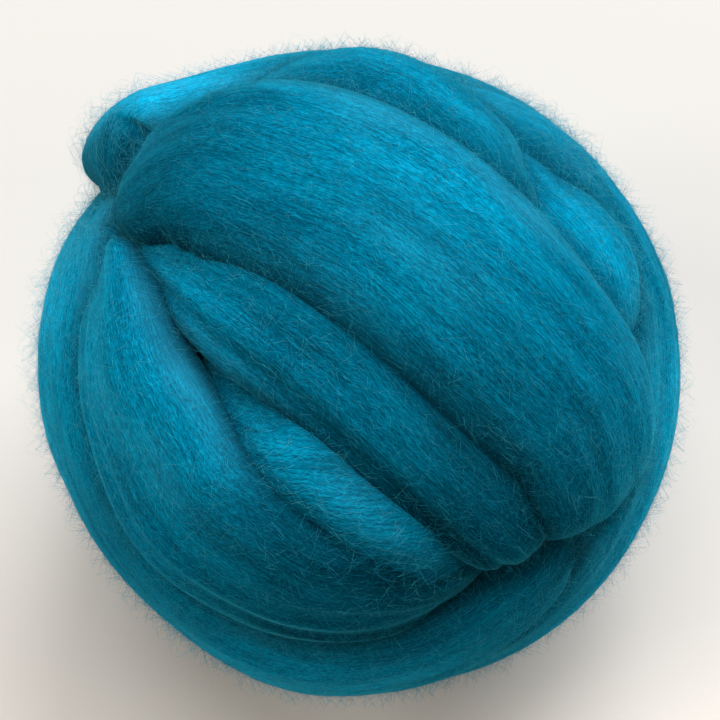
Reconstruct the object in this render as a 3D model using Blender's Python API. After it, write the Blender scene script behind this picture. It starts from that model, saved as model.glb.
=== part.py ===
"""A ball of combed wool roving, wound by hand from one length.

The roving is a soft flat rope of combed wool, about 50 mm wide, wound round
and round on itself. The ball is one solid: a squashed ball on which each
turn of the roving is raised as a broad rounded band. Metres, +Z up. The ball
stands on a small flat spot whose middle is the origin.

A place on the ball is a direction from its centre. Its compass runs from +X
(0) over +Y, the back (90), and its drop is the angle down from the crown.
"""
from collections import namedtuple
import math

import bmesh
import bpy
import numpy as np

MM = 0.001

# Driving dimensions
BALL_HALF_SIZES = np.array([0.080, 0.084, 0.066])  # of the ball that the turns lie on
CENTRE = np.array([0.0003, 0.0010, 0.060])  # less than its half height: the rest is squashed flat
CORE_DEPTH = 0.010  # of the wool between the turns, below the ball's surface
EDGE_DROP = 0.012  # how far a turn's rounded edges roll down
EDGE_SQUARENESS = 2.6  # 2 makes a turn's section an ellipse, more makes it flatter on top
EDGE_START = 0.93  # the share of a turn's half width where its side begins
SIDE_SLOPE = 1.6  # how steeply a turn's side falls to what lies under it
BLEND = 0.0008  # how softly two turns meet
SMOOTHING = 0.3  # how far each point moves to the middle of its neighbours
CUTS = 30  # cuts along each edge of the cube that the ball is shaped from
PATH_STEPS = 24  # samples between two stations of a turn

Station = namedtuple("Station", "compass_deg drop_deg width_mm lift_mm")
Groove = namedtuple("Groove", "across depth_mm width_mm")

# Each turn's stations, in the order in which the roving runs. A turn comes
# up from under its neighbours and dives under them again, so that its lift
# is negative at both ends.
TURNS = {
    "crown_turn": [
        Station(170, 63, 12, -13),
        Station(166, 52, 20, 0),
        Station(163, 45, 34, 4),
        Station(157, 37, 48, 6),
        Station(151, 27, 54, 7),
        Station(149, 13, 56, 7),
        Station(321, 9, 56, 7),
        Station(321, 24, 54, 7),
        Station(320, 38, 51, 7),
        Station(320, 51, 46, 7),
        Station(317, 61, 41, 6),
        Station(315, 69, 37, 2),
        Station(313, 76, 31, -6),
        Station(311, 83, 22, -14),
    ],
    "front_turn": [
        Station(172, 62, 12, -14),
        Station(178, 49, 14, -6),
        Station(186, 40, 20, -3),
        Station(196, 33, 28, 0),
        Station(210, 29, 31, 2),
        Station(229, 27, 33, 3),
        Station(246, 28, 32, 3),
        Station(260, 31, 31, 3),
        Station(271, 36, 30, 3),
        Station(280, 42, 29, 3),
        Station(288, 50, 28, 3),
        Station(294, 58, 27, 2),
        Station(298, 65, 25, 0),
        Station(300, 71, 22, -5),
        Station(303, 78, 14, -14),
    ],
    "tucked_turn": [
        Station(208, 38, 12, -14),
        Station(219, 41, 18, -8),
        Station(230, 42, 23, -5),
        Station(239, 43, 26, -3),
        Station(247, 45, 28, -1),
        Station(255, 47, 29, 1),
        Station(262, 50, 30, 1),
        Station(269, 54, 30, 1),
        Station(275, 58, 29, 1),
        Station(281, 62, 26, 0),
        Station(287, 66, 21, -4),
        Station(293, 71, 14, -9),
        Station(298, 76, 10, -14),
    ],
    "left_turn": [
        Station(172, 65, 12, -13),
        Station(180, 52, 13, 0),
        Station(190, 50, 19, 3),
        Station(201, 51, 26, 4),
        Station(213, 53, 31, 5),
        Station(225, 56, 35, 5),
        Station(238, 61, 38, 5),
        Station(250, 64, 37, 4),
        Station(262, 67, 34, 3),
        Station(275, 69, 28, 1),
        Station(287, 71, 20, -4),
        Station(299, 74, 12, -13),
    ],
    "back_turn": [
        Station(150, 62, 16, -13),
        Station(130, 55, 28, -5),
        Station(111, 46, 36, 0),
        Station(94, 38, 39, 3),
        Station(74, 32, 37, 3),
        Station(53, 27, 32, 3),
        Station(37, 27, 27, 3),
        Station(22, 27, 22, 2),
        Station(8, 29, 18, 1),
        Station(354, 33, 16, -5),
        Station(340, 40, 14, -14),
    ],
    "right_turn": [
        Station(52, 38, 14, -13),
        Station(40, 36, 24, -5),
        Station(28, 36, 30, -2),
        Station(16, 38, 32, -1),
        Station(6, 42, 34, 1),
        Station(357, 47, 33, 2),
        Station(350, 51, 28, 1),
        Station(343, 57, 20, -3),
        Station(337, 64, 12, -13),
    ],
    "left_lobe": [
        Station(72, 60, 30, -12),
        Station(90, 58, 36, -4),
        Station(106, 57, 38, -1),
        Station(119, 57, 38, 1),
        Station(130, 58, 36, 4),
        Station(139, 60, 34, 8),
        Station(147, 61, 30, 9),
        Station(154, 60, 24, 6),
        Station(160, 61, 16, -3),
        Station(166, 61, 12, -12),
    ],
    "belt_left": [
        Station(126, 76, 36, -12),
        Station(147, 73, 48, -4),
        Station(165, 72, 54, -1),
        Station(182, 71, 56, 0),
        Station(198, 77, 56, 0),
        Station(214, 83, 55, -1),
        Station(230, 89, 53, -1),
        Station(246, 92, 50, 0),
        Station(260, 92, 48, 1),
        Station(273, 90, 44, 0),
        Station(285, 86, 38, 0),
        Station(295, 82, 33, -1),
        Station(304, 79, 27, -3),
        Station(313, 76, 20, -7),
        Station(321, 72, 12, -14),
    ],
    "belt_right": [
        Station(228, 116, 30, -11),
        Station(247, 111, 38, -3),
        Station(266, 106, 44, -1),
        Station(282, 102, 46, 0),
        Station(296, 97, 46, 0),
        Station(307, 93, 46, 0),
        Station(318, 87, 48, 0),
        Station(329, 80, 48, 0),
        Station(338, 75, 44, 0),
        Station(347, 70, 42, 0),
        Station(357, 66, 38, 0),
        Station(8, 60, 34, 0),
        Station(18, 54, 32, 0),
        Station(30, 49, 32, 0),
        Station(44, 46, 32, -1),
        Station(60, 46, 32, -3),
        Station(78, 50, 30, -7),
        Station(94, 55, 26, -14),
    ],
    "back_belt": [
        Station(336, 92, 24, -13),
        Station(348, 85, 38, -5),
        Station(4, 78, 46, -2),
        Station(25, 71, 50, -4),
        Station(48, 67, 52, -4),
        Station(72, 68, 52, -4),
        Station(95, 71, 52, -2),
        Station(118, 74, 48, -2),
        Station(138, 77, 40, -4),
        Station(156, 79, 28, -12),
    ],
    "low_turn": [
        Station(300, 124, 26, -13),
        Station(325, 114, 40, -4),
        Station(350, 106, 48, -2),
        Station(20, 101, 52, -1),
        Station(50, 98, 54, -1),
        Station(80, 99, 54, -1),
        Station(110, 102, 54, -1),
        Station(140, 104, 52, -1),
        Station(170, 106, 50, -2),
        Station(200, 111, 48, -4),
        Station(228, 120, 40, -7),
        Station(252, 130, 26, -13),
    ],
    "under_turn_a": [
        Station(222, 108, 30, -13),
        Station(226, 122, 50, -4),
        Station(232, 140, 58, -3),
        Station(240, 160, 60, -3),
        Station(330, 176, 60, -3),
        Station(48, 156, 60, -3),
        Station(54, 138, 56, -3),
        Station(58, 120, 46, -5),
        Station(61, 106, 30, -13),
    ],
    "under_turn_b": [
        Station(312, 106, 30, -13),
        Station(308, 120, 46, -5),
        Station(304, 138, 56, -4),
        Station(298, 158, 60, -5),
        Station(200, 176, 60, -6),
        Station(136, 158, 60, -5),
        Station(132, 138, 56, -4),
        Station(130, 120, 46, -6),
        Station(128, 106, 30, -13),
    ],
    "foot_turn": [
        Station(48, 127, 24, -13),
        Station(76, 128, 42, -4),
        Station(108, 129, 46, -4),
        Station(140, 130, 46, -4),
        Station(170, 130, 46, -4),
        Station(200, 130, 46, -4),
        Station(230, 130, 44, -4),
        Station(260, 129, 44, -4),
        Station(290, 128, 44, -4),
        Station(320, 129, 46, -4),
        Station(350, 130, 48, -4),
        Station(20, 130, 46, -4),
        Station(46, 131, 40, -5),
        Station(70, 132, 24, -13),
    ],
}

# Long shallow grooves where a turn's wool has parted. across runs from -1,
# the right edge seen along the turn from outside, to 1.
GROOVES = {
    "crown_turn": [Groove(-0.35, 0.6, 12), Groove(0.30, 0.7, 12)],
    "front_turn": [Groove(-0.55, 1.5, 4)],
    "left_turn": [Groove(-0.55, 2.0, 5)],
    "belt_right": [Groove(0.30, 0.8, 7)],
}

# Turns whose section isn't the usual one
ROUNDER = {"tucked_turn": 2.1}  # the squareness of a turn that is a rounder rope
LEAN_MM = {"left_turn": 1.5}  # how far a turn's left edge stands above its middle


def direction(compass_deg, drop_deg):
    """The unit direction from the ball's centre to a place on it."""
    compass, drop = math.radians(compass_deg), math.radians(drop_deg)
    level = math.sin(drop)
    return np.array([level * math.cos(compass), level * math.sin(compass), math.cos(drop)])


def smooth_through(rows):
    """Points of a smooth curve that passes through every row."""
    rows = np.asarray(rows, float)
    padded = np.vstack([2 * rows[0] - rows[1], rows, 2 * rows[-1] - rows[-2]])
    step = np.linspace(0, 1, PATH_STEPS, endpoint=False)[:, None]
    spans = []
    for a, b, c, d in zip(padded, padded[1:], padded[2:], padded[3:]):
        spans.append(
            0.5 * (2 * b + (c - a) * step + (2 * a - 5 * b + 4 * c - d) * step**2)
            + 0.5 * (3 * b - a - 3 * c + d) * step**3
        )
    return np.vstack(spans + [rows[-1:]])


def ball_radius(directions):
    """The distance from the centre to the ball that the turns lie on."""
    return 1 / np.linalg.norm(directions / BALL_HALF_SIZES, axis=1)


def turn_lift(directions, name):
    """How high a turn stands above the ball in each direction, far below it away from the turn."""
    stations = TURNS[name]
    route = smooth_through([direction(s.compass_deg, s.drop_deg) for s in stations])
    route /= np.linalg.norm(route, axis=1)[:, None]
    width, lift = (smooth_through([(s.width_mm, s.lift_mm) for s in stations]) * MM).T
    along = np.gradient(route, axis=0)
    sideways = np.cross(route, along)
    sideways /= np.linalg.norm(sideways, axis=1)[:, None]
    nearest = np.argmax(directions @ route.T, axis=1)
    apart = np.arccos(np.clip((directions * route[nearest]).sum(1), -1, 1))
    side = np.sign((directions * sideways[nearest]).sum(1))
    distance = apart * ball_radius(directions)
    half_width = width[nearest] / 2
    across = distance / half_width
    rolled = np.minimum(across, EDGE_START)
    squareness = ROUNDER.get(name, EDGE_SQUARENESS)
    top = (1 - rolled**squareness) ** (1 / squareness)
    beyond = np.maximum(distance - EDGE_START * half_width, 0)
    height = lift[nearest] - EDGE_DROP * (1 - top) - SIDE_SLOPE * beyond
    height += LEAN_MM.get(name, 0) * MM * side * rolled
    for groove in GROOVES.get(name, []):
        from_groove = (side * across - groove.across) * half_width
        height -= groove.depth_mm * MM * np.exp(-((2 * from_groove / (groove.width_mm * MM)) ** 2))
    return height


def wound_radius(directions):
    """The distance from the centre to the wool's surface in each direction."""
    heights = [np.full(len(directions), -CORE_DEPTH)]
    heights += [turn_lift(directions, name) for name in TURNS]
    heights = np.array(heights)
    highest = heights.max(axis=0)
    blended = highest + BLEND * np.log(np.exp((heights - highest) / BLEND).sum(axis=0))
    return ball_radius(directions) + blended


def wool_material():
    """Teal dyed wool: dull, and much lighter where its nap catches the light."""
    material = bpy.data.materials.new("teal_wool")
    material.use_nodes = True
    shader = material.node_tree.nodes["Principled BSDF"]
    shader.inputs["Base Color"].default_value = (0.005, 0.19, 0.30, 1)
    shader.inputs["Roughness"].default_value = 0.9
    shader.inputs["Metallic"].default_value = 0.0
    return material


def make_ball(collection):
    """A cube cut into squares, blown up to a round ball and raised into its turns."""
    ball = bmesh.new()
    bmesh.ops.create_cube(ball, size=2)
    bmesh.ops.subdivide_edges(ball, edges=ball.edges[:], cuts=CUTS, use_grid_fill=True)
    corners = np.array([vertex.co for vertex in ball.verts])
    corners = np.tan(corners * math.pi / 4)  # so that the squares come out nearly even
    directions = corners / np.linalg.norm(corners, axis=1)[:, None]
    places = CENTRE + directions * wound_radius(directions)[:, None]
    for vertex, place in zip(ball.verts, places):
        vertex.co = place
    bmesh.ops.smooth_vert(
        ball, verts=ball.verts[:], factor=SMOOTHING, use_axis_x=True, use_axis_y=True, use_axis_z=True
    )
    flatten_foot(ball)
    bmesh.ops.triangulate(ball, faces=ball.faces[:])
    bmesh.ops.recalc_face_normals(ball, faces=ball.faces[:])
    mesh = bpy.data.meshes.new("roving_ball")
    ball.to_mesh(mesh)
    ball.free()
    mesh.shade_smooth()
    mesh.materials.append(wool_material())
    collection.objects.link(bpy.data.objects.new("roving_ball", mesh))


def flatten_foot(ball):
    """Cuts the ball off level at the surface that it rests on."""
    geometry = ball.verts[:] + ball.edges[:] + ball.faces[:]
    cut = bmesh.ops.bisect_plane(
        ball, geom=geometry, plane_co=(0, 0, 0), plane_no=(0, 0, 1), clear_inner=True
    )
    rim = [item for item in cut["geom_cut"] if isinstance(item, bmesh.types.BMEdge)]
    bmesh.ops.holes_fill(ball, edges=rim)


def main():
    for thing in list(bpy.data.objects):
        bpy.data.objects.remove(thing)
    collection = bpy.data.collections.new("wool_roving")
    bpy.context.scene.collection.children.link(collection)
    make_ball(collection)


main()
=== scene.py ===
"""A ball of combed wool roving, dressed in its wool.

Every turn of the roving is a flat soft rope of its own, with rounded edges,
combed locks and creases, laid on the same stations as the solid. Combed
fibres, strays, nap, curls, wisps and flyaway hairs are thin closed rods.
Metres, +Z up.

A place on the ball is a direction from its centre. Its compass runs from +X
(0) over +Y, the back (90), and its drop is the angle down from the crown.
A place on a turn is its run, the metres along the turn's middle line, and
across, from -1 at the right edge seen along the turn from outside to 1.
"""
from collections import namedtuple
import math

import bpy
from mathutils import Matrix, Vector
import numpy as np


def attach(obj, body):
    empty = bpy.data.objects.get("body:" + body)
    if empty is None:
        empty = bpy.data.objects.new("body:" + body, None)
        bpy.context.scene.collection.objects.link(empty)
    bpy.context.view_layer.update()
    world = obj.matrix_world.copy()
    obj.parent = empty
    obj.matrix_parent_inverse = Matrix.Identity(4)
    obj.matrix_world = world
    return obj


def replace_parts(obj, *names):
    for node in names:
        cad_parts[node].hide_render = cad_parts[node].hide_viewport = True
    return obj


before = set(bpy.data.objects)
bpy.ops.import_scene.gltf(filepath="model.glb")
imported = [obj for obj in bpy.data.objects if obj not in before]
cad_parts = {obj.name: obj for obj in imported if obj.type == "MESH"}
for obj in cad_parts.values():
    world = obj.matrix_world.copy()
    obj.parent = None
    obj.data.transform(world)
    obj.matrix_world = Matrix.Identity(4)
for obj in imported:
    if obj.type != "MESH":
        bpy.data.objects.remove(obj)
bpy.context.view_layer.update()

MM = 0.001
NO_LENGTH = 1e-12

Station = namedtuple("Station", "compass_deg drop_deg width_mm lift_mm")
Groove = namedtuple("Groove", "across depth_mm width_mm")
Turn = namedtuple("Turn", "name route along sideways run width lift seed")
Wave = namedtuple("Wave", "length_mm width_mm height_mm")
Growth = namedtuple("Growth", "count segments length_mm thickness_mm swing_deg rise_mm shade")
Lamp = namedtuple("Lamp", "name compass_deg drop_deg watts size colour")

# The wound form, as in the solid
BALL_HALF_SIZES = np.array([0.080, 0.084, 0.066])
CENTRE = np.array([0.0003, 0.0010, 0.060])
CORE_DEPTH = 0.010  # of the inner wool below the ball that the turns lie on
EDGE_DROP = 0.012  # of a turn's edges below its middle
EDGE_SQUARENESS = 2.6  # of a turn's rounded section, where 2 is an ellipse
PATH_STEPS = 24  # samples from one station to the next

# The turns' own meshes
TOP_STEP = 0.6 * MM  # between two lines of points that run along a turn
ALONG_STEP = 2.2 * MM
SECTION_SAMPLES = 2001
LOW_TURNS = ("back_belt", "low_turn", "under_turn_a", "under_turn_b", "foot_turn")
LOW_COARSENESS = 1.5  # of the low turns' meshes, which are seen less
UNDER_DEPTH = 4 * MM  # of a turn's flat underside below its edges
UNDER_POINTS = 8
SEAM_MERGE = 1e-7  # points this near each other close a section
CUT_MERGE = 1e-6  # points this near a cut move onto it
MAP_SPAN = 0.5  # metres of wool that one unit of a UV map holds
FOOT_HEIGHTS = {"under_turn_b": 0.2 * MM}  # of the flat feet inside another turn's foot

# The inner wool's own mesh
CORE_MAP_RADIUS = 0.07
CORE_LOCKS = Wave(25, 3, 0.5)
CORE_LOCKS_ROUND = 0.02  # metres of them for each radian round the ball
CORE_LOCKS_UP = 0.08  # metres of them from its middle to its crown
CORE_FLOW_POLE = (40, 60)  # the place that its fibres run round
CORE_FOOT_HEIGHT = 0.5 * MM

TURNS = {
    "crown_turn": [
        Station(170, 63, 12, -13),
        Station(166, 52, 20, 0),
        Station(163, 45, 34, 4),
        Station(157, 37, 48, 6),
        Station(151, 27, 54, 7),
        Station(149, 13, 56, 7),
        Station(321, 9, 56, 7),
        Station(321, 24, 54, 7),
        Station(320, 38, 51, 7),
        Station(320, 51, 46, 7),
        Station(317, 61, 41, 6),
        Station(315, 69, 37, 2),
        Station(313, 76, 31, -6),
        Station(311, 83, 22, -14),
    ],
    "front_turn": [
        Station(172, 62, 12, -14),
        Station(178, 49, 14, -6),
        Station(186, 40, 20, -3),
        Station(196, 33, 28, 0),
        Station(210, 29, 31, 2),
        Station(229, 27, 33, 3),
        Station(246, 28, 32, 3),
        Station(260, 31, 31, 3),
        Station(271, 36, 30, 3),
        Station(280, 42, 29, 3),
        Station(288, 50, 28, 3),
        Station(294, 58, 27, 2),
        Station(298, 65, 25, 0),
        Station(300, 71, 22, -5),
        Station(303, 78, 14, -14),
    ],
    "tucked_turn": [
        Station(208, 38, 12, -14),
        Station(219, 41, 18, -8),
        Station(230, 42, 23, -5),
        Station(239, 43, 26, -3),
        Station(247, 45, 28, -1),
        Station(255, 47, 29, 1),
        Station(262, 50, 30, 1),
        Station(269, 54, 30, 1),
        Station(275, 58, 29, 1),
        Station(281, 62, 26, 0),
        Station(287, 66, 21, -4),
        Station(293, 71, 14, -9),
        Station(298, 76, 10, -14),
    ],
    "left_turn": [
        Station(172, 65, 12, -13),
        Station(180, 52, 13, 0),
        Station(190, 50, 19, 3),
        Station(201, 51, 26, 4),
        Station(213, 53, 31, 5),
        Station(225, 56, 35, 5),
        Station(238, 61, 38, 5),
        Station(250, 64, 37, 4),
        Station(262, 67, 34, 3),
        Station(275, 69, 28, 1),
        Station(287, 71, 20, -4),
        Station(299, 74, 12, -13),
    ],
    "back_turn": [
        Station(150, 62, 16, -13),
        Station(130, 55, 28, -5),
        Station(111, 46, 36, 0),
        Station(94, 38, 39, 3),
        Station(74, 32, 37, 3),
        Station(53, 27, 32, 3),
        Station(37, 27, 27, 3),
        Station(22, 27, 22, 2),
        Station(8, 29, 18, 1),
        Station(354, 33, 16, -5),
        Station(340, 40, 14, -14),
    ],
    "right_turn": [
        Station(52, 38, 14, -13),
        Station(40, 36, 24, -5),
        Station(28, 36, 30, -2),
        Station(16, 38, 32, -1),
        Station(6, 42, 34, 1),
        Station(357, 47, 33, 2),
        Station(350, 51, 28, 1),
        Station(343, 57, 20, -3),
        Station(337, 64, 12, -13),
    ],
    "left_lobe": [
        Station(72, 60, 30, -12),
        Station(90, 58, 36, -4),
        Station(106, 57, 38, -1),
        Station(119, 57, 38, 1),
        Station(130, 58, 36, 4),
        Station(139, 60, 34, 8),
        Station(147, 61, 30, 9),
        Station(154, 60, 24, 6),
        Station(160, 61, 16, -3),
        Station(166, 61, 12, -12),
    ],
    "belt_left": [
        Station(126, 76, 36, -12),
        Station(147, 73, 48, -4),
        Station(165, 72, 54, -1),
        Station(182, 71, 56, 0),
        Station(198, 77, 56, 0),
        Station(214, 83, 55, -1),
        Station(230, 89, 53, -1),
        Station(246, 92, 50, 0),
        Station(260, 92, 48, 1),
        Station(273, 90, 44, 0),
        Station(285, 86, 38, 0),
        Station(295, 82, 33, -1),
        Station(304, 79, 27, -3),
        Station(313, 76, 20, -7),
        Station(321, 72, 12, -14),
    ],
    "belt_right": [
        Station(228, 116, 30, -11),
        Station(247, 111, 38, -3),
        Station(266, 106, 44, -1),
        Station(282, 102, 46, 0),
        Station(296, 97, 46, 0),
        Station(307, 93, 46, 0),
        Station(318, 87, 48, 0),
        Station(329, 80, 48, 0),
        Station(338, 75, 44, 0),
        Station(347, 70, 42, 0),
        Station(357, 66, 38, 0),
        Station(8, 60, 34, 0),
        Station(18, 54, 32, 0),
        Station(30, 49, 32, 0),
        Station(44, 46, 32, -1),
        Station(60, 46, 32, -3),
        Station(78, 50, 30, -7),
        Station(94, 55, 26, -14),
    ],
    "back_belt": [
        Station(336, 92, 24, -13),
        Station(348, 85, 38, -5),
        Station(4, 78, 46, -2),
        Station(25, 71, 50, -4),
        Station(48, 67, 52, -4),
        Station(72, 68, 52, -4),
        Station(95, 71, 52, -2),
        Station(118, 74, 48, -2),
        Station(138, 77, 40, -4),
        Station(156, 79, 28, -12),
    ],
    "low_turn": [
        Station(300, 124, 26, -13),
        Station(325, 114, 40, -4),
        Station(350, 106, 48, -2),
        Station(20, 101, 52, -1),
        Station(50, 98, 54, -1),
        Station(80, 99, 54, -1),
        Station(110, 102, 54, -1),
        Station(140, 104, 52, -1),
        Station(170, 106, 50, -2),
        Station(200, 111, 48, -4),
        Station(228, 120, 40, -7),
        Station(252, 130, 26, -13),
    ],
    "under_turn_a": [
        Station(222, 108, 30, -13),
        Station(226, 122, 50, -4),
        Station(232, 140, 58, -3),
        Station(240, 160, 60, -3),
        Station(330, 176, 60, -3),
        Station(48, 156, 60, -3),
        Station(54, 138, 56, -3),
        Station(58, 120, 46, -5),
        Station(61, 106, 30, -13),
    ],
    "under_turn_b": [
        Station(312, 106, 30, -13),
        Station(308, 120, 46, -5),
        Station(304, 138, 56, -4),
        Station(298, 158, 60, -5),
        Station(200, 176, 60, -6),
        Station(136, 158, 60, -5),
        Station(132, 138, 56, -4),
        Station(130, 120, 46, -6),
        Station(128, 106, 30, -13),
    ],
    "foot_turn": [
        Station(48, 127, 24, -13),
        Station(76, 128, 42, -4),
        Station(108, 129, 46, -4),
        Station(140, 130, 46, -4),
        Station(170, 130, 46, -4),
        Station(200, 130, 46, -4),
        Station(230, 130, 44, -4),
        Station(260, 129, 44, -4),
        Station(290, 128, 44, -4),
        Station(320, 129, 46, -4),
        Station(350, 130, 48, -4),
        Station(20, 130, 46, -4),
        Station(46, 131, 40, -5),
        Station(70, 132, 24, -13),
    ],
}

# Where a turn's wool has parted
GROOVES = {
    "crown_turn": [Groove(-0.35, 0.6, 12), Groove(0.30, 0.7, 12)],
    "front_turn": [Groove(-0.55, 1.5, 4)],
    "left_turn": [Groove(-0.55, 2.0, 5), Groove(-0.15, 0.8, 7)],
    "belt_right": [Groove(0.30, 0.8, 7)],
}

# Turns whose section isn't the usual one
ROUNDER = {"tucked_turn": 2.1, "left_turn": 3.4}  # the squareness of a rounder or a flatter rope
LEAN_MM = {"left_turn": 1.5}  # how far a turn's left edge stands above its middle
ROUGHER = {"tucked_turn": 2.0, "left_turn": 1.4}  # how much higher a turn's locks stand

SKEW_DEG = {"tucked_turn": 33}  # from a turn's own way to its fibres, where it has twisted

# The relief of the combed wool: broad locks and thin locks
LOCKS = [Wave(60, 4.6, 0.27), Wave(22, 2.0, 0.13)]
SWELL = Wave(26, 14, 0.7)
MEANDER = Wave(30, 14, 1.6)  # how far the locks wander to the side
RELIEF_FADE = 6  # the power by which the relief fades towards a turn's edges
WAVE_TABLE = 128  # random numbers along each side of the table that the waves pass through
WAVE_START = 50  # the waves' place in it where a turn starts
LOCK_SEED, HAZE_SEED, MEANDER_SEED = 10, 60, 90  # added to a turn's own seed
CORE_SEED = 5
SEED_STEP = 100  # from one turn's seed to the next

# Painted light and shade along each turn, standing in for how the lamps light it:
# the share of its run, and the share of the usual colour.
PAINTED_LIGHTS = {
    "crown_turn": [
        (0, 0.5), (0.2, 0.52), (0.34, 0.8), (0.5, 1.03), (0.62, 0.77), (0.8, 0.7), (1, 0.6),
    ],
    "front_turn": [(0, 1.2), (0.17, 1.3), (0.42, 0.95), (0.6, 0.72), (0.71, 0.46), (1, 0.3)],
    "tucked_turn": [(0, 1.0), (0.5, 1.35), (0.66, 1.05), (1, 0.7)],
    "left_turn": [(0, 0.9), (0.35, 1.1), (0.45, 1.0), (0.65, 0.45), (1, 0.4)],
    "back_turn": [(0, 0.95), (1, 0.95)],
    "right_turn": [(0, 1.3), (1, 1.35)],
    "left_lobe": [(0, 1.2), (0.7, 1.8), (0.8, 1.0), (0.86, 0.5), (1, 0.35)],
    "belt_left": [(0, 1.2), (0.26, 1.55), (0.47, 0.9), (0.71, 1.2), (0.83, 0.9), (1, 0.8)],
    "belt_right": [(0, 1.0), (0.5, 1.2), (1, 1.1)],
}
# How much painted light brightens a turn towards its left edge, as a power of e; a negative one
# paints shade there
PAINTED_LIGHT_LEANS = {
    "crown_turn": 0.35,
    "tucked_turn": 0.6,
    "front_turn": 0.3,
    "belt_left": -0.55,
    "belt_right": -0.35,
}

# The pale haze on a turn, from 0 to 1: random patches of nap, and painted sheen along its edges
HAZE_PATCHES = Wave(18, 6, 1)
PATCH_HAZE = 0.35
# painted sheen along a turn's edges
PAINTED_EDGE_SHEEN = 0.85
PAINTED_EDGE_SHEEN_POWER = 4
DARK_HAZE_POWER = 1.5  # how fast it goes where painted shade darkens the wool

# The painted shade in the creases between the turns
CREASE_HEIGHT = 3.6 * MM  # how far up out of a crease it reaches
CREASE_REACHES = [(0, 1.0), (2.5, 0.8), (5.0, 0.45)]  # mm to a neighbour, share of its shade

# Loose fibres of each kind. Their shade is a share of the way from deep to pale,
# times the painted light and shade of the wool where they start.
COMBED = Growth(1600, 4, 4.5, 0.08, 8, 0.35, 0.5)
STRAYS = Growth(1700, 4, 4.0, 0.04, 34, 1.0, 0.6)
CURLS = Growth(3000, 6, 3.4, 0.04, 90, 0.8, 0.65)
NAP = Growth(22000, 1, 2.6, 0.08, 34, 3.8, 0.6)
FLYAWAYS = Growth(2400, 5, 7, 0.03, 26, 5.5, 0.5)
WISPY = Growth(1100, 6, 8, 0.035, 30, 5.5, 0.75)

# How a loose fibre varies from its kind: shares of the kind's own values
LENGTHS = (0.7, 1.3)
THICKNESSES = (0.7, 1.2)
SWINGS = (0.4, 1.4)
RISES = (0.15, 1)
RISE_POWER = 1.6  # most fibres rise little
BENDS = (0.8, 1.5)  # radians of its to and fro for each of its segments
DRIFT = 0.25  # of its swing, that it keeps turning to one side
SPRING_POWER = 1.2  # of the way that a free end leaves the wool
WOBBLE = 0.15  # of its rise
WOBBLE_ANGLE = 9  # radians of its wobble from end to end
SHADE_SPREAD = 0.13
SUNK = 0.08 * MM  # how deep in the wool it lies where it doesn't rise
TIP_ANGLE, TIP_POWER = 0.12, 0.35  # of its taper, a part of a sine
LOWEST_GROWTH = -0.75  # the cosine of the drop that loose fibres reach
FOOT_CLEARANCE = 0.3 * MM  # of the fibres above the surface that the ball rests on
PLACE_SPREAD = 0.7  # of the fibres round a place, as a share of its spread
PART_SIZE = 20000  # directions that the wool's surface is found in at a time, to save memory

# Places where the wool has felted to curls: compass, drop and spread in degrees
FELTED = [
    (312, 54, 8), (322, 52, 6), (306, 44, 9), (299, 56, 5), (288, 54, 6), (281, 61, 6),
    (262, 55, 7), (242, 43, 4), (172, 38, 5), (186, 30, 6), (188, 46, 6), (196, 37, 5),
    (252, 67, 8), (230, 62, 9), (155, 49, 6), (28, 57, 4), (208, 74, 9), (262, 84, 12),
    (316, 86, 10), (90, 60, 14), (40, 75, 14),
]
# Places where longer fibres stand off the wool
WISPS = [
    (24, 48, 3), (25, 50, 4), (29, 47, 4), (152, 59, 5), (146, 55, 5), (154, 67, 6),
    (150, 62, 8), (56, 64, 7), (43, 51, 5), (186, 71, 8), (178, 74, 7), (315, 88, 9),
    (240, 90, 9), (166, 58, 5), (170, 60, 5), (163, 54, 6), (172, 66, 6),
]

# The wool's colours, with the pale nap's and painted sheen's colour and the painted crease shade
DEEP_TEAL = (0.0003, 0.11, 0.20, 1)
TEAL = (0.0006, 0.245, 0.43, 1)
BRIGHT_TEAL = (0.002, 0.44, 0.72, 1)
# the pale nap's and painted sheen's colour
NAP_AND_SHEEN_TEAL = (0.045, 0.35, 0.52, 1)
# painted shade for the creases
PAINTED_CREASE_SHADE = (0.0004, 0.03, 0.055, 1)
DEEP_TONE, TEAL_TONE, BRIGHT_TONE = 0.47, 0.565, 0.68  # of the streaks that have these colours
NAP_AND_SHEEN_STRENGTH = 0.45
PAINTED_CREASE_STRENGTH = 0.6
CRIMP_MM = 0.8  # how far the crimp bends the streaks to and fro

# The photograph's view: from the front and above, close by
VIEW_ELEVATION_DEG = 62
VIEW_DISTANCE = 0.300
LENS_MM, FILM_MM = 59.06, 36
FRAME_PX = 720
OFF_MIDDLE_PX = (-2, -8.5)  # the frame's middle from the ball's, which lies right of it and above

# The studio
FLOOR_SIZE = 24
# the floor's tints: lighter and warmer in front with painted light, darker behind with painted
# shade
NEAR_FLOOR_PAINTED_LIGHT, FAR_FLOOR_PAINTED_SHADE = (0.95, 0.90, 0.85, 1), (0.695, 0.69, 0.675, 1)
FLOOR_FADE = (-0.13, 0.10)  # painted light and shade, from the near tint to the far one, along Y
SKY, SKY_STRENGTH = (1.0, 0.72, 0.48, 1), 0.11
LAMP_DISTANCE = 3.0  # far enough to light the floor evenly
LAMPS = [
    Lamp("window", 62, 48, 84, 2.4, (0.98, 0.99, 1.0)),
    Lamp("ceiling", 110, 20, 38, 2.0, (0.97, 0.99, 1.0)),
    Lamp("left_fill", 186, 54, 34, 1.8, (1.0, 0.92, 0.82)),
    Lamp("right_fill", 2, 58, 15, 1.8, (1.0, 0.92, 0.83)),
]


def direction(compass_deg, drop_deg):
    """The unit direction from the ball's centre to a place on it."""
    compass, drop = math.radians(compass_deg), math.radians(drop_deg)
    level = math.sin(drop)
    return np.array([level * math.cos(compass), level * math.sin(compass), math.cos(drop)])


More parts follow.
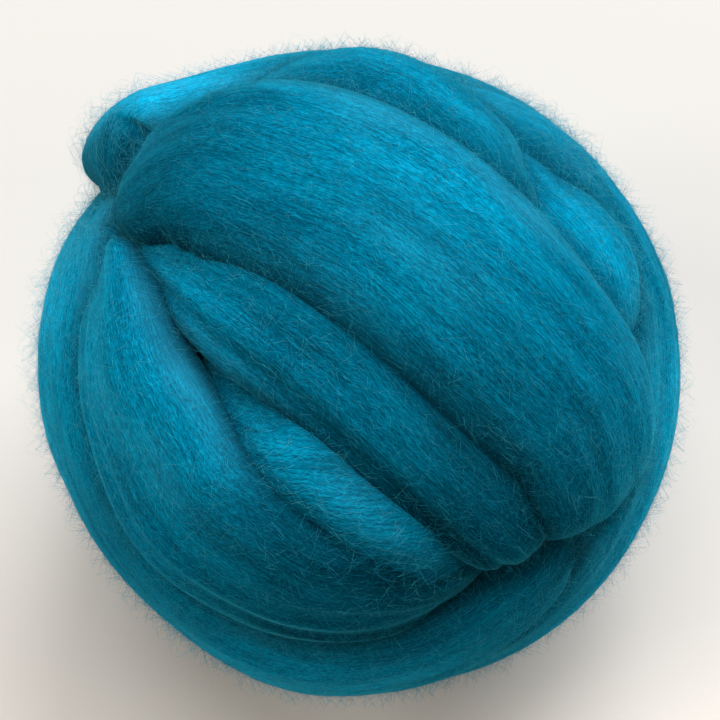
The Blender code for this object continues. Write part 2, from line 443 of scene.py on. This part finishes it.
def smooth_through(rows):
    """Points of a smooth curve that passes through every row."""
    rows = np.asarray(rows, float)
    padded = np.vstack([2 * rows[0] - rows[1], rows, 2 * rows[-1] - rows[-2]])
    step = np.linspace(0, 1, PATH_STEPS, endpoint=False)[:, None]
    spans = []
    for a, b, c, d in zip(padded, padded[1:], padded[2:], padded[3:]):
        spans.append(
            0.5 * (2 * b + (c - a) * step + (2 * a - 5 * b + 4 * c - d) * step**2)
            + 0.5 * (3 * b - a - 3 * c + d) * step**3
        )
    return np.vstack(spans + [rows[-1:]])


def unit(vectors):
    """The same directions, each 1 long."""
    return vectors / np.maximum(np.linalg.norm(vectors, axis=-1, keepdims=True), NO_LENGTH)


def ball_radius(directions):
    """The distance from the centre to the ball that the turns lie on."""
    return 1 / np.linalg.norm(directions / BALL_HALF_SIZES, axis=-1)


def lay_turn(name, seed):
    """A turn's middle line on the ball, with its width and lift at each sample."""
    stations = TURNS[name]
    route = unit(smooth_through([direction(s.compass_deg, s.drop_deg) for s in stations]))
    width, lift = (smooth_through([(s.width_mm, s.lift_mm) for s in stations]) * MM).T
    sideways = unit(np.cross(route, np.gradient(route, axis=0)))
    along = np.cross(sideways, route)
    places = route * ball_radius(route)[:, None]
    run = np.append(0, np.cumsum(np.linalg.norm(np.diff(places, axis=0), axis=1)))
    return Turn(name, route, along, sideways, run, width, lift, seed)


def at_run(turn, run, vectors):
    """A turn's own vectors, read at some places along it."""
    return np.stack([np.interp(run, turn.run, axis) for axis in vectors.T], -1)


def half_width_at(turn, run):
    """Half a turn's width at some places along it."""
    return np.interp(run, turn.run, turn.width) / 2


def lean_at(turn, across):
    """How far a leaning turn stands above its usual section."""
    return LEAN_MM.get(turn.name, 0) * MM * across


def waves(run, side, wave, seed):
    """Smooth random waves of about a wave's length and width, between -1 and 1."""
    table = np.random.default_rng(seed).uniform(-1, 1, (WAVE_TABLE, WAVE_TABLE))
    x = run / (wave.length_mm * MM) + WAVE_START
    y = side / (wave.width_mm * MM) + WAVE_START
    column, row = np.floor(x).astype(int), np.floor(y).astype(int)
    x, y = x - column, y - row
    x, y = x * x * (3 - 2 * x), y * y * (3 - 2 * y)
    left, right = column % WAVE_TABLE, (column + 1) % WAVE_TABLE
    near, far = (
        table[line % WAVE_TABLE, left] * (1 - x) + table[line % WAVE_TABLE, right] * x
        for line in (row, row + 1)
    )
    return near * (1 - y) + far * y


def along_fibres(turn, run, side):
    """How far a place lies along the fibres and across them."""
    skew = math.radians(SKEW_DEG.get(turn.name, 0))
    forward = run * math.cos(skew) + side * math.sin(skew)
    aside = side * math.cos(skew) - run * math.sin(skew)
    wander = MEANDER.height_mm * MM * waves(forward, aside, MEANDER, turn.seed + MEANDER_SEED)
    return forward, aside + wander


def turn_height(turn, run, across):
    """How high a turn's wool stands above the ball."""
    half_width = half_width_at(turn, run)
    edge = np.clip(np.abs(across), 0, 1)
    squareness = ROUNDER.get(turn.name, EDGE_SQUARENESS)
    rolled = EDGE_DROP * (1 - (1 - edge**squareness) ** (1 / squareness))
    height = np.interp(run, turn.run, turn.lift) - rolled + lean_at(turn, across)
    side = across * half_width
    forward, aside = along_fibres(turn, run, side)
    relief = SWELL.height_mm * waves(run, side, SWELL, turn.seed)
    for number, lock in enumerate(LOCKS):
        height_mm = lock.height_mm * ROUGHER.get(turn.name, 1)
        relief = relief + height_mm * waves(forward, aside, lock, turn.seed + LOCK_SEED + number)
    for groove in GROOVES.get(turn.name, []):
        from_groove = (across - groove.across) * (half_width / MM)
        relief = relief - groove.depth_mm * np.exp(-((2 * from_groove / groove.width_mm) ** 2))
    return height + relief * MM * (1 - edge**RELIEF_FADE)


def on_turn(turn, run, across, height):
    """The places at a height above the ball, run along a turn and across it."""
    middle = unit(at_run(turn, run, turn.route))
    aside = unit(at_run(turn, run, turn.sideways))
    half_width = half_width_at(turn, run)
    towards = middle
    for _ in range(2):  # the second time with the ball's radius at the place itself
        angle = (across * half_width / ball_radius(towards))[:, None]
        towards = middle * np.cos(angle) + aside * np.sin(angle)
    return CENTRE + towards * (ball_radius(towards) + height)[:, None]


def coarseness(turn):
    """How many times the usual steps a turn's mesh has."""
    return LOW_COARSENESS if turn.name in LOW_TURNS else 1


def section_of(turn):
    """A turn's section as a closed line: across, how far below its top, and girth so far.

    Gives the number of its points that lie on the top too.
    """
    half_width = turn.width.max() / 2
    squareness = ROUNDER.get(turn.name, EDGE_SQUARENESS)
    fine = np.linspace(math.pi, 0, SECTION_SAMPLES)
    across = np.sign(np.cos(fine)) * np.abs(np.cos(fine)) ** (2 / squareness)
    up = np.abs(np.sin(fine)) ** (2 / squareness) * EDGE_DROP
    girth = np.append(0, np.cumsum(np.hypot(np.diff(across) * half_width, np.diff(up))))
    even = np.linspace(0, girth[-1], round(girth[-1] / (TOP_STEP * coarseness(turn))) + 1)
    top = np.interp(even, girth, across)
    under = np.cos(np.linspace(0, math.pi, UNDER_POINTS + 1))[1:]
    under_girth = even[-1] + (1 - under) * half_width
    below = UNDER_DEPTH * np.sqrt(1 - under**2)
    return np.append(top, under), np.append(0 * top, below), np.append(even, under_girth), len(top)


def start_clean():
    """Deselects all, so that the next operator acts on its own piece alone."""
    bpy.ops.object.select_all(action="DESELECT")


def coordinates(mesh):
    """The places of a mesh's points."""
    found = np.empty(len(mesh.vertices) * 3)
    mesh.vertices.foreach_get("co", found)
    return found.reshape(-1, 3)


def move_points(mesh, places):
    """Puts every point of a mesh in its place."""
    mesh.vertices.foreach_set("co", np.ascontiguousarray(places, dtype=np.float32).ravel())
    mesh.update()


def cut_off_below(height):
    """In edit mode, takes off what lies below a height, and closes the cut with a flat foot."""
    bpy.ops.mesh.select_all(action="SELECT")
    bpy.ops.mesh.bisect(
        plane_co=(0, 0, height), plane_no=(0, 0, 1), use_fill=True, clear_inner=True,
        threshold=CUT_MERGE,
    )


def write_map(mesh, places):
    """Sets the UV map's corners from their points' places on the wool, in metres."""
    corner = np.empty(len(mesh.loops), int)
    mesh.loops.foreach_get("vertex_index", corner)
    uv = mesh.uv_layers[0]
    uv.name = "combed"
    corners = np.ascontiguousarray((places / MAP_SPAN)[corner], dtype=np.float32)
    uv.uv.foreach_set("vector", corners.ravel())


def write_numbers(mesh, name, numbers):
    """Gives every point of a mesh a number that its finish reads."""
    layer = mesh.attributes.new(name, "FLOAT", "POINT")
    layer.data.foreach_set("value", np.ascontiguousarray(numbers, dtype=np.float32))


def belongs(piece):
    """The piece is wool of the ball's one body."""
    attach(piece, "root")


def dress(piece, finish):
    """Gives a piece its smooth look and its finish, and makes it a part of the ball."""
    bpy.ops.object.shade_smooth()
    piece.data.materials.append(finish)
    belongs(piece)


def make_turn(turn, finish):
    """A flat grid rolled into a soft rope along the turn's stations, closed all round."""
    across, below, girth, top_count = section_of(turn)
    columns, rows = round(turn.run[-1] / (ALONG_STEP * coarseness(turn))), len(across) - 1
    start_clean()
    bpy.ops.mesh.primitive_grid_add(x_subdivisions=columns, y_subdivisions=rows, size=1)
    piece = bpy.context.object
    piece.name = piece.data.name = turn.name
    mesh = piece.data
    grid = coordinates(mesh) + 0.5
    row = np.rint(grid[:, 1] * rows).astype(int)
    run = grid[:, 0] * turn.run[-1]
    across, below, girth = across[row], below[row], girth[row]
    edge_height = np.interp(run, turn.run, turn.lift) - EDGE_DROP + lean_at(turn, across)
    height = np.where(row < top_count, turn_height(turn, run, across), edge_height - below)
    places = on_turn(turn, run, across, height)
    move_points(mesh, places)
    write_map(mesh, np.stack(along_fibres(turn, run, girth), 1))
    write_numbers(mesh, "nap_and_sheen", nap_and_sheen_of(turn, run, across))
    write_numbers(mesh, "painted_light", painted_light_of(turn, run, across))
    write_numbers(mesh, "crease", painted_crease_shade_of(turn, unit(places - CENTRE), run, height))
    bpy.ops.object.mode_set(mode="EDIT")
    bpy.ops.mesh.select_all(action="SELECT")
    bpy.ops.mesh.remove_doubles(threshold=SEAM_MERGE)
    bpy.ops.mesh.select_all(action="SELECT")
    bpy.ops.mesh.fill_holes(sides=0)
    bpy.ops.mesh.select_all(action="SELECT")
    bpy.ops.mesh.normals_make_consistent(inside=False)
    foot = FOOT_HEIGHTS.get(turn.name, 0)
    if places[:, 2].min() < foot:
        cut_off_below(foot)
    bpy.ops.object.mode_set(mode="OBJECT")
    dress(piece, finish)
    return piece


def nap_and_sheen_of(turn, run, across):
    """How pale a turn is: random patches of nap, and painted sheen along its edges, both less where
    painted shade darkens it.
    """
    side = across * half_width_at(turn, run)
    patches = waves(run, side, HAZE_PATCHES, turn.seed + HAZE_SEED)
    shown = np.minimum(painted_light_of(turn, run, across), 1) ** DARK_HAZE_POWER
    # painted sheen along the edges
    edges = PAINTED_EDGE_SHEEN * np.abs(across) ** PAINTED_EDGE_SHEEN_POWER
    return np.clip(edges + PATCH_HAZE * patches, 0, 1) * shown


def painted_light_of(turn, run, across):
    """Painted light and shade on a turn's wool, as a share of the usual colour."""
    shares, depths = zip(*PAINTED_LIGHTS.get(turn.name, [(0, 1)]))
    lean = PAINTED_LIGHT_LEANS.get(turn.name, 0)
    return np.interp(run / turn.run[-1], shares, depths) * np.exp(lean * across)


def painted_crease_shade_of(turn, towards, run, height):
    """How much painted shade a turn's wool takes in the crease beside a neighbour, from 0 to 1."""
    aside = at_run(turn, run, turn.sideways)
    deepest = np.zeros(len(run))
    for reach, share in CREASE_REACHES:
        for side in {-reach, reach}:
            shifted = unit(towards * ball_radius(towards)[:, None] + aside * side * MM)
            others = in_parts(shifted, without=turn.name)[0]
            above = np.maximum(height - others, 0)
            deepest = np.maximum(deepest, share * np.exp(-((above / CREASE_HEIGHT) ** 2)))
    return deepest


def make_core(finish):
    """The older turns that show only at the bottom of the deepest gaps."""
    start_clean()
    bpy.ops.mesh.primitive_uv_sphere_add(segments=96, ring_count=48, radius=1)
    piece = bpy.context.object
    piece.name = piece.data.name = "inner_wool"
    mesh = piece.data
    towards = unit(coordinates(mesh))
    compass = np.arctan2(towards[:, 1], towards[:, 0])
    locks = waves(compass * CORE_LOCKS_ROUND, towards[:, 2] * CORE_LOCKS_UP, CORE_LOCKS, CORE_SEED)
    height = locks * CORE_LOCKS.height_mm * MM - CORE_DEPTH
    move_points(mesh, CENTRE + towards * (ball_radius(towards) + height)[:, None])
    write_map(mesh, np.stack([compass, np.arccos(towards[:, 2])], 1) * CORE_MAP_RADIUS)
    # the inner wool is painted with the full crease shade all over, no pale haze, and the usual
    # colour
    for name, number in (("nap_and_sheen", 0), ("painted_light", 1), ("crease", 1)):
        write_numbers(mesh, name, np.full(len(towards), number))
    bpy.ops.object.mode_set(mode="EDIT")
    cut_off_below(CORE_FOOT_HEIGHT)
    bpy.ops.object.mode_set(mode="OBJECT")
    dress(piece, finish)
    return piece


def fibre_way(turn):
    """The way of a turn's fibres at each of its samples."""
    skew = math.radians(SKEW_DEG.get(turn.name, 0))
    return turn.along * math.cos(skew) + turn.sideways * math.sin(skew)


def wool_surface(towards, without=None):
    """The wool's height above the ball in each direction, its fibres' way there, and its painted
    light and shade.
    """
    height = np.full(len(towards), -CORE_DEPTH)
    painted_light = np.ones(len(towards))
    flow = unit(np.cross(towards, direction(*CORE_FLOW_POLE)))
    for turn in turns:
        if turn.name == without:
            continue
        nearest = np.argmax(towards @ turn.route.T, axis=1)
        apart = np.arccos(np.clip((towards * turn.route[nearest]).sum(1), -1, 1))
        side = np.sign((towards * turn.sideways[nearest]).sum(1))
        across = side * apart * ball_radius(towards) / (turn.width[nearest] / 2)
        run = turn.run[nearest]
        here = np.where(np.abs(across) < 1, turn_height(turn, run, across), -math.inf)
        higher = here > height
        height[higher] = here[higher]
        flow[higher] = fibre_way(turn)[nearest[higher]]
        painted_light[higher] = painted_light_of(turn, run, across)[higher]
    return height, flow, painted_light


def in_parts(towards, without=None):
    """wool_surface, a part of the directions at a time."""
    starts = range(0, len(towards), PART_SIZE)
    parts = [wool_surface(towards[at : at + PART_SIZE], without) for at in starts]
    return [np.concatenate(found) for found in zip(*parts)]


def scattered(rng, count):
    """Random directions, even over the ball down to near its foot."""
    up = rng.uniform(LOWEST_GROWTH, 1, count)
    compass = rng.uniform(0, 2 * math.pi, count)
    level = np.sqrt(1 - up**2)
    return np.stack([level * np.cos(compass), level * np.sin(compass), up], 1)


def gathered(rng, count, places):
    """Random directions around some places."""
    compass, drop, spread = np.array(places, float)[rng.integers(len(places), size=count)].T
    middle = np.stack([direction(*place) for place in zip(compass, drop)])
    return unit(middle + np.radians(spread)[:, None] * rng.normal(0, PLACE_SPREAD, (count, 3)))


def model_strand(segments):
    """One fibre: a three-sided rod cut into even lengths. Gives its points and its faces."""
    start_clean()
    bpy.ops.mesh.primitive_cylinder_add(vertices=3, radius=1, depth=segments, end_fill_type="NGON")
    piece = bpy.context.object
    bpy.ops.object.mode_set(mode="EDIT")
    bpy.ops.mesh.select_mode(type="EDGE")
    bpy.ops.mesh.select_all(action="DESELECT")
    bpy.ops.object.mode_set(mode="OBJECT")
    places = coordinates(piece.data)
    for edge in piece.data.edges:
        start, end = edge.vertices
        edge.select = bool(abs(places[start][2] - places[end][2]) > segments / 2)
    bpy.ops.object.mode_set(mode="EDIT")
    if segments > 1:
        bpy.ops.mesh.subdivide(number_cuts=segments - 1)
    bpy.ops.mesh.select_mode(type="VERT")
    bpy.ops.object.mode_set(mode="OBJECT")
    places = coordinates(piece.data)
    faces = [list(face.vertices) for face in piece.data.polygons]
    mesh = piece.data
    bpy.data.objects.remove(piece)
    bpy.data.meshes.remove(mesh)
    return places + [0, 0, segments / 2], faces


def copy_strands(name, paths, radii, shades, finish):
    """Copies the one modelled fibre along every path and joins the copies in one mesh."""
    count, points = paths.shape[:2]
    rod, faces = model_strand(points - 1)
    ring = np.rint(rod[:, 2]).astype(int)
    along = unit(np.gradient(paths, axis=1))
    outward = unit(paths - CENTRE)
    outward = unit(outward - along * (outward * along).sum(-1, keepdims=True))
    aside = np.cross(along, outward)
    taper = np.sin(np.linspace(TIP_ANGLE, math.pi - TIP_ANGLE, points)) ** TIP_POWER
    thick = radii[:, None, None] * taper[None, ring, None]
    places = paths[:, ring] + thick * (
        outward[:, ring] * rod[None, :, :1] + aside[:, ring] * rod[None, :, 1:2]
    )
    corners = np.concatenate(faces)
    sizes = np.array([len(face) for face in faces])
    starts = np.append(0, np.cumsum(sizes)[:-1])
    copy = np.arange(count)[:, None]
    mesh = bpy.data.meshes.new(name)
    mesh.vertices.add(count * len(rod))
    mesh.loops.add(count * len(corners))
    mesh.polygons.add(count * len(faces))
    mesh.loops.foreach_set("vertex_index", (corners + copy * len(rod)).astype(np.int32).ravel())
    mesh.polygons.foreach_set("loop_start", (starts + copy * len(corners)).astype(np.int32).ravel())
    mesh.vertices.foreach_set("co", places.astype(np.float32).ravel())
    mesh.update(calc_edges=True)
    mesh.validate()
    mesh.shade_smooth()
    write_numbers(mesh, "shade", np.repeat(shades, len(rod)))
    mesh.materials.append(finish)
    piece = bpy.data.objects.new(name, mesh)
    bpy.context.scene.collection.objects.link(piece)
    belongs(piece)
    return piece


def walk(rng, growth, start, heading, arch):
    """The paths of loose fibres that start on the wool and wander over it.

    Where arch is true both ends lie on the wool, and elsewhere one end stands free.
    """
    count, steps = len(start), growth.segments
    length = growth.length_mm * MM * rng.uniform(*LENGTHS, count)
    phase, rate = rng.uniform(0, 2 * math.pi, count), rng.uniform(*BENDS, count)
    swing = math.radians(growth.swing_deg) * rng.uniform(*SWINGS, count)
    drift = rng.normal(0, swing * DRIFT, count)
    towards = [start]
    for step in range(steps):
        turned = swing * np.sin(phase + rate * step) + drift * (step - steps / 2) / 2
        aside = np.cross(towards[-1], heading)
        going = heading * np.cos(turned)[:, None] + aside * np.sin(turned)[:, None]
        pace = (length / steps / ball_radius(towards[-1]))[:, None]
        towards.append(unit(towards[-1] + going * pace))
        heading = unit(heading - towards[-1] * (heading * towards[-1]).sum(1, keepdims=True))
    towards = np.stack(towards, 1)
    height = in_parts(towards.reshape(-1, 3))[0].reshape(count, -1)
    for _ in range(2):  # bridges the creases that it crosses
        smooth = height.copy()
        smooth[:, 1:-1] = (height[:, :-2] + height[:, 1:-1] + height[:, 2:]) / 3
        height = np.maximum(height, smooth)
    share = np.linspace(0, 1, steps + 1)
    top = growth.rise_mm * MM * rng.uniform(*RISES, count) ** RISE_POWER
    shape = np.where(arch[:, None], np.sin(share * math.pi), share**SPRING_POWER)
    wobble = WOBBLE * top[:, None] * np.sin(share * WOBBLE_ANGLE + phase[:, None]) * share
    height = height + shape * top[:, None] + wobble - SUNK
    paths = CENTRE + towards * (ball_radius(towards) + height)[..., None]
    paths[..., 2] = np.maximum(paths[..., 2], FOOT_CLEARANCE)
    return paths


def grow(name, growth, finish, seed, spread_deg, arched=1.0, places=None):
    """Loose fibres of one kind, within about spread_deg of the combed way.

    They lie all over the ball or at some places, and a share of them is arched.
    """
    rng = np.random.default_rng(seed)
    start = gathered(rng, growth.count, places) if places else scattered(rng, growth.count)
    flow, painted_light = in_parts(start)[1:]
    heading = unit(flow - start * (flow * start).sum(1, keepdims=True))
    heading *= np.where(rng.random(growth.count) < 0.5, -1, 1)[:, None]
    turned = np.radians(rng.normal(0, spread_deg, growth.count))[:, None]
    heading = heading * np.cos(turned) + np.cross(start, heading) * np.sin(turned)
    paths = walk(rng, growth, start, heading, rng.random(growth.count) < arched)
    radii = growth.thickness_mm * MM / 2 * rng.uniform(*THICKNESSES, growth.count)
    # each fibre's tone takes the painted light and shade of the wool where it starts
    shades = growth.shade * painted_light + rng.normal(0, SHADE_SPREAD, growth.count)
    return copy_strands(name, paths, radii, np.clip(shades, 0, 1), finish)


def link(tree, start, end):
    """Joins a node's output to another's input."""
    tree.links.new(start, end)


def set_inputs(node, values):
    """Sets a node's inputs by their names or places."""
    for name, value in values.items():
        node.inputs[name].default_value = value


def new_finish(name):
    """A material with nodes. Gives it, its tree and its shader."""
    material = bpy.data.materials.new(name)
    material.use_nodes = True
    tree = material.node_tree
    return material, tree, tree.nodes["Principled BSDF"]


def numbers_of(tree, name):
    """A number that every point of the mesh has."""
    attribute = tree.nodes.new("ShaderNodeAttribute")
    attribute.attribute_name = name
    return attribute.outputs["Fac"]


def times(tree, value, factor):
    """A value times a factor."""
    product = tree.nodes.new("ShaderNodeMath")
    product.operation = "MULTIPLY"
    product.inputs[1].default_value = factor
    link(tree, value, product.inputs[0])
    return product.outputs[0]


def blended(tree, share, first, second):
    """A colour from the first, which may be another node's, to the second."""
    mix = tree.nodes.new("ShaderNodeMix")
    mix.data_type = "RGBA"
    mix.inputs["B"].default_value = second
    if isinstance(first, tuple):
        mix.inputs["A"].default_value = first
    else:
        link(tree, first, mix.inputs["A"])
    link(tree, share, mix.inputs["Factor"])
    return mix.outputs["Result"]


def wool_finish(name):
    """Dyed wool: fine crimped streaks along the fibres, paler with nap and painted sheen, darker
    with painted crease shade, and scaled by painted light and shade.
    """
    material, tree, shader = new_finish(name)
    set_inputs(shader, {
        "Roughness": 0.85,
        "Specular IOR Level": 0.0,
        "Sheen Weight": 0.85,
        "Sheen Roughness": 0.25,
        "Sheen Tint": (0.06, 0.66, 0.88, 1),
    })
    crimped = crimp(tree, millimetres(tree))
    crossing = [
        streak(tree, crimped, length_mm=1.9, width_mm=0.20, turned_deg=0, detail=2),
        streak(tree, crimped, length_mm=1.6, width_mm=0.22, turned_deg=17, detail=1),
        streak(tree, crimped, length_mm=1.6, width_mm=0.22, turned_deg=-14, detail=1),
    ]
    fibres = highest(tree, crossing)
    slivers = streak(tree, crimped, length_mm=7, width_mm=0.45, turned_deg=0, detail=2)
    locks = streak(tree, crimped, length_mm=30, width_mm=6, turned_deg=0, detail=1)
    combed = teal_ramp(tree, weigh(tree, [fibres, slivers, locks], [0.55, 0.27, 0.18]))
    # pale nap and painted sheen
    nap_and_sheen = times(tree, numbers_of(tree, "nap_and_sheen"), NAP_AND_SHEEN_STRENGTH)
    # painted shade in the creases
    crease = times(tree, numbers_of(tree, "crease"), PAINTED_CREASE_STRENGTH)
    shaded = blended(tree, crease, blended(tree, nap_and_sheen, combed, NAP_AND_SHEEN_TEAL), PAINTED_CREASE_SHADE)
    # painted light and shade: the colour scaled by each point's share
    with_painted_light = tree.nodes.new("ShaderNodeVectorMath")
    with_painted_light.operation = "SCALE"
    link(tree, shaded, with_painted_light.inputs[0])
    link(tree, numbers_of(tree, "painted_light"), with_painted_light.inputs["Scale"])
    link(tree, with_painted_light.outputs[0], shader.inputs["Base Color"])
    bump = tree.nodes.new("ShaderNodeBump")
    set_inputs(bump, {"Strength": 1.0, "Distance": 0.3 * MM})
    link(tree, weigh(tree, [fibres, slivers], [0.55, 0.45]), bump.inputs["Height"])
    link(tree, bump.outputs["Normal"], shader.inputs["Normal"])
    return material


def millimetres(tree):
    """The place on the wool that the piece's own map gives, in millimetres."""
    uv = tree.nodes.new("ShaderNodeUVMap")
    uv.uv_map = "combed"
    real = tree.nodes.new("ShaderNodeMapping")
    real.inputs["Scale"].default_value = (MAP_SPAN / MM, MAP_SPAN / MM, 1)
    link(tree, uv.outputs["UV"], real.inputs["Vector"])
    return real.outputs["Vector"]


def teal_ramp(tree, tone):
    """The dyed wool's colours, from the depth between the fibres to the lit ones."""
    ramp = tree.nodes.new("ShaderNodeValToRGB")
    deep, bright = ramp.color_ramp.elements
    deep.position, deep.color = DEEP_TONE, DEEP_TEAL
    bright.position, bright.color = BRIGHT_TONE, BRIGHT_TEAL
    ramp.color_ramp.elements.new(TEAL_TONE).color = TEAL
    link(tree, tone, ramp.inputs["Fac"])
    return ramp.outputs["Color"]


def crimp(tree, place):
    """Bends the streaks to and fro, as the wool's crimp does."""
    wave = tree.nodes.new("ShaderNodeTexNoise")
    set_inputs(wave, {"Scale": 0.45, "Detail": 1})
    link(tree, place, wave.inputs["Vector"])
    centred = tree.nodes.new("ShaderNodeVectorMath")
    centred.operation = "MULTIPLY_ADD"
    set_inputs(centred, {1: (0, CRIMP_MM, 0), 2: (0, -CRIMP_MM / 2, 0)})
    link(tree, wave.outputs["Color"], centred.inputs[0])
    moved = tree.nodes.new("ShaderNodeVectorMath")
    link(tree, place, moved.inputs[0])
    link(tree, centred.outputs[0], moved.inputs[1])
    return moved.outputs[0]


def streak(tree, place, length_mm, width_mm, turned_deg, detail):
    """Noise drawn out along the fibres, or turned a little from their way."""
    stretch = tree.nodes.new("ShaderNodeMapping")
    stretch.vector_type = "TEXTURE"
    turned = math.radians(turned_deg)
    set_inputs(stretch, {"Rotation": (0, 0, turned), "Scale": (length_mm, width_mm, 1)})
    link(tree, place, stretch.inputs["Vector"])
    noise = tree.nodes.new("ShaderNodeTexNoise")
    set_inputs(noise, {"Scale": 1, "Detail": detail})
    link(tree, stretch.outputs["Vector"], noise.inputs["Vector"])
    return noise.outputs["Fac"]


def highest(tree, values):
    """The highest of some values, so that each streak lies over the ones below it."""
    top = values[0]
    for value in values[1:]:
        higher = tree.nodes.new("ShaderNodeMath")
        higher.operation = "MAXIMUM"
        link(tree, top, higher.inputs[0])
        link(tree, value, higher.inputs[1])
        top = higher.outputs[0]
    return top


def weigh(tree, values, shares):
    """The sum of some values, each times its share."""
    total = None
    for value, share in zip(values, shares):
        part = tree.nodes.new("ShaderNodeMath")
        part.operation = "MULTIPLY_ADD"
        set_inputs(part, {1: share / sum(shares), 2: 0})
        link(tree, value, part.inputs[0])
        if total is not None:
            link(tree, total, part.inputs[2])
        total = part.outputs[0]
    return total


def fibre_finish(name, deep, pale):
    """Single dyed fibres, from a deep colour to a pale one."""
    material, tree, shader = new_finish(name)
    set_inputs(shader, {
        "Roughness": 0.6,
        "Specular IOR Level": 0.05,
        "Sheen Weight": 0.1,
        "Sheen Tint": (0.05, 0.65, 0.8, 1),
    })
    link(tree, blended(tree, numbers_of(tree, "shade"), deep, pale), shader.inputs["Base Color"])
    return material


def make_camera():
    """The photograph's view."""
    elevation = math.radians(VIEW_ELEVATION_DEG)
    camera = bpy.data.cameras.new("camera")
    eye = bpy.data.objects.new("camera", camera)
    bpy.context.scene.collection.objects.link(eye)
    back = Vector((0, -math.cos(elevation), math.sin(elevation)))
    eye.location = Vector(CENTRE) + back * VIEW_DISTANCE
    eye.rotation_euler = (math.pi / 2 - elevation, 0, 0)
    camera.lens, camera.sensor_width = LENS_MM, FILM_MM
    camera.shift_x, camera.shift_y = (offset / FRAME_PX for offset in OFF_MIDDLE_PX)
    camera.clip_start = 0.01
    bpy.context.scene.camera = eye


def hang_lamp(lamp):
    """A round lamp that points at the ball."""
    place = CENTRE + direction(lamp.compass_deg, lamp.drop_deg) * LAMP_DISTANCE
    light = bpy.data.lights.new(lamp.name, "AREA")
    light.shape = "DISK"
    light.energy, light.size, light.color = lamp.watts, lamp.size, lamp.colour
    body = bpy.data.objects.new(lamp.name, light)
    body.location = place
    body.rotation_euler = (Vector(CENTRE) - Vector(place)).to_track_quat("-Z", "Y").to_euler()
    bpy.context.scene.collection.objects.link(body)


def floor_finish(name):
    """Pale paper with painted light and shade: lighter and warmer towards the front, darker towards
    the back, where the lamps are nearer.
    """
    material, tree, shader = new_finish(name)
    shader.inputs["Roughness"].default_value = 0.9
    place = tree.nodes.new("ShaderNodeTexCoord")
    parts = tree.nodes.new("ShaderNodeSeparateXYZ")
    share = tree.nodes.new("ShaderNodeMapRange")
    near_y, far_y = FLOOR_FADE
    set_inputs(share, {"From Min": near_y, "From Max": far_y})
    link(tree, place.outputs["Object"], parts.inputs[0])
    link(tree, parts.outputs["Y"], share.inputs["Value"])
    tint = blended(tree, share.outputs["Result"], NEAR_FLOOR_PAINTED_LIGHT, FAR_FLOOR_PAINTED_SHADE)
    link(tree, tint, shader.inputs["Base Color"])
    return material


def make_studio():
    """A pale floor, painted lighter at the front and darker at the back, under soft light, most of
    it from the back.
    """
    start_clean()
    bpy.ops.mesh.primitive_plane_add(size=FLOOR_SIZE)
    floor = bpy.context.object
    floor.name = "floor"
    floor.data.materials.append(floor_finish("pale_floor"))
    world = bpy.data.worlds.new("studio")
    bpy.context.scene.world = world
    world.use_nodes = True
    set_inputs(world.node_tree.nodes["Background"], {"Color": SKY, "Strength": SKY_STRENGTH})
    for lamp in LAMPS:
        hang_lamp(lamp)
    bpy.context.scene.view_settings.view_transform = "Standard"
    bpy.context.scene.cycles.use_denoising = True


make_camera()
make_studio()
turns = [lay_turn(name, SEED_STEP * number) for number, name in enumerate(TURNS)]
wool = wool_finish("combed_wool")
strand = fibre_finish("single_fibres", deep=(0.0004, 0.10, 0.18, 1), pale=(0.004, 0.44, 0.68, 1))
fluff = fibre_finish("pale_nap", deep=(0.002, 0.12, 0.20, 1), pale=(0.02, 0.50, 0.72, 1))
down = fibre_finish("pale_hairs", deep=(0.006, 0.18, 0.28, 1), pale=(0.10, 0.58, 0.72, 1))

for turn in turns:
    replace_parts(make_turn(turn, wool), "roving_ball")
make_core(wool)

grow("combed_fibres_a", COMBED, strand, seed=11, spread_deg=12)
grow("combed_fibres_b", COMBED, strand, seed=12, spread_deg=12)
grow("stray_fibres_a", STRAYS, fluff, seed=13, spread_deg=60)
grow("stray_fibres_b", STRAYS, fluff, seed=17, spread_deg=60)
grow("short_nap_a", NAP, fluff, seed=14, spread_deg=30, arched=0.3)
grow("short_nap_b", NAP, down, seed=16, spread_deg=30, arched=0.3)
grow("felted_curls", CURLS, fluff, seed=18, spread_deg=60, places=FELTED)
grow("loose_wisps", WISPY, down, seed=19, spread_deg=40, arched=0.5, places=WISPS)
grow("flyaway_hairs", FLYAWAYS, down, seed=15, spread_deg=50, arched=0.4)
